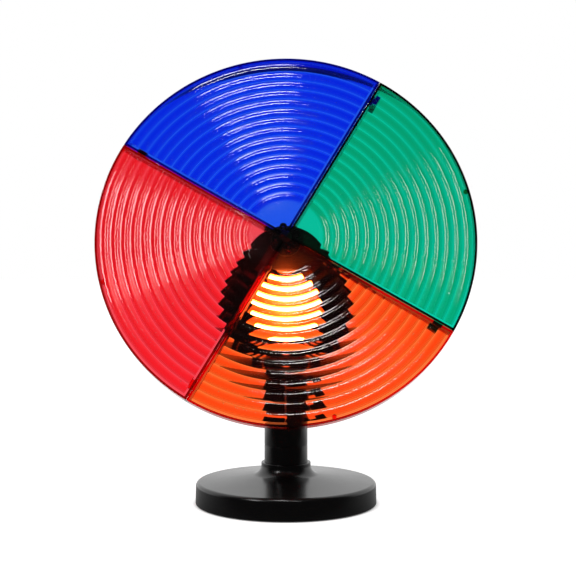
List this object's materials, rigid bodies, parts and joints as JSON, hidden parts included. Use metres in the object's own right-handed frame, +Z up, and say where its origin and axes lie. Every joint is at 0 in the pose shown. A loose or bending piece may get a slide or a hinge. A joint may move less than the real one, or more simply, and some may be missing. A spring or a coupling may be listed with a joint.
{
  "type": "color wheel light",
  "caption": "Table-top colour wheel light: a motor turns a wheel of ribbed tinted trays in front of a lamp in an egg-shaped hood that tilts on a domed base.",
  "frame": {"origin": "middle of the flat underside of the foot pad, on the axis of the stem", "axes": "+Z up along the stem, the wheel faces -Y and leans 16 degrees back at rest, the tilt knob is on +X"},
  "size_m": [0.33, 0.1886, 0.3989],
  "materials": {
    "black_plastic": "moulded black plastic, satin to glossy",
    "knob_plastic": "moulded black plastic, satin",
    "switch_plastic": "moulded black plastic, satin",
    "hub_plastic": "moulded black plastic, satin",
    "black_rubber": "matt moulded rubber",
    "ballast_iron": "rough casting",
    "screw_steel": "zinc plated steel",
    "motor_steel": "drawn and plated steel",
    "turned_brass": "turned brass",
    "washer_fibre": "pressed red fibre",
    "socket_ceramic": "glazed white ceramic",
    "bulb_glass": "frosted reflector glass",
    "cap_aluminium": "pressed aluminium",
    "rocker_red": "moulded red plastic",
    "lead_insulation": "blue wire insulation",
    "tray_green": "clear tinted plastic, polished",
    "tray_blue": "clear tinted plastic, polished",
    "tray_red": "clear tinted plastic, polished",
    "tray_orange": "clear tinted plastic, polished"
  },
  "bodies": {
    "stand": {"base_shell": "black_plastic", "ballast_plate": "ballast_iron", "base_cover": "black_plastic", "base_screws": "screw_steel", "foot_pad": "black_rubber", "stem_tube": "black_plastic", "stem_yoke": "black_plastic", "stem_bolt": "screw_steel", "stem_washer": "screw_steel", "tilt_bolt": "screw_steel", "friction_washer": "washer_fibre", "knob_washer": "screw_steel"},
    "knob": {"tilt_knob": "knob_plastic", "knob_insert": "turned_brass"},
    "head": {"lamp_hood": "black_plastic", "rear_cover": "black_plastic", "cover_screws": "screw_steel", "motor_can": "motor_steel", "motor_plate": "motor_steel", "motor_screws": "screw_steel", "shaft_bush": "turned_brass", "lamp_socket": "socket_ceramic", "socket_sleeve": "turned_brass", "socket_contact": "turned_brass", "socket_screws": "screw_steel", "bulb_glass": "bulb_glass", "bulb_cap": "cap_aluminium", "switch_body": "switch_plastic", "cord_grommet": "black_rubber", "lead_wires": "lead_insulation"},
    "rocker": {"switch_rocker": "rocker_red"},
    "wheel": {"motor_shaft": "motor_steel", "wheel_hub": "hub_plastic", "hub_screws": "screw_steel", "sector_green": "tray_green", "sector_blue": "tray_blue", "sector_red": "tray_red", "sector_orange": "tray_orange"}
  },
  "joints": [
    {"name": "head_tilt", "type": "hinge", "parent": "stand", "child": "head", "pos_m": [0, 0, 0.093], "axis": [-1, 0, 0], "range_deg": [-16, 29]},
    {"name": "wheel_spin", "type": "hinge", "parent": "head", "child": "wheel", "pos_m": [0, -0.04203, 0.24029], "axis": [0, -0.9613, 0.2756], "continuous": true},
    {"name": "knob_turn", "type": "hinge", "parent": "stand", "child": "knob", "pos_m": [0.025, 0, 0.093], "axis": [1, 0, 0], "range_deg": [0, 180]},
    {"name": "power_rocker", "type": "hinge", "parent": "head", "child": "rocker", "pos_m": [0, 0.09428, 0.17873], "axis": [-1, 0, 0], "range_deg": [0, 16]}
  ]
}
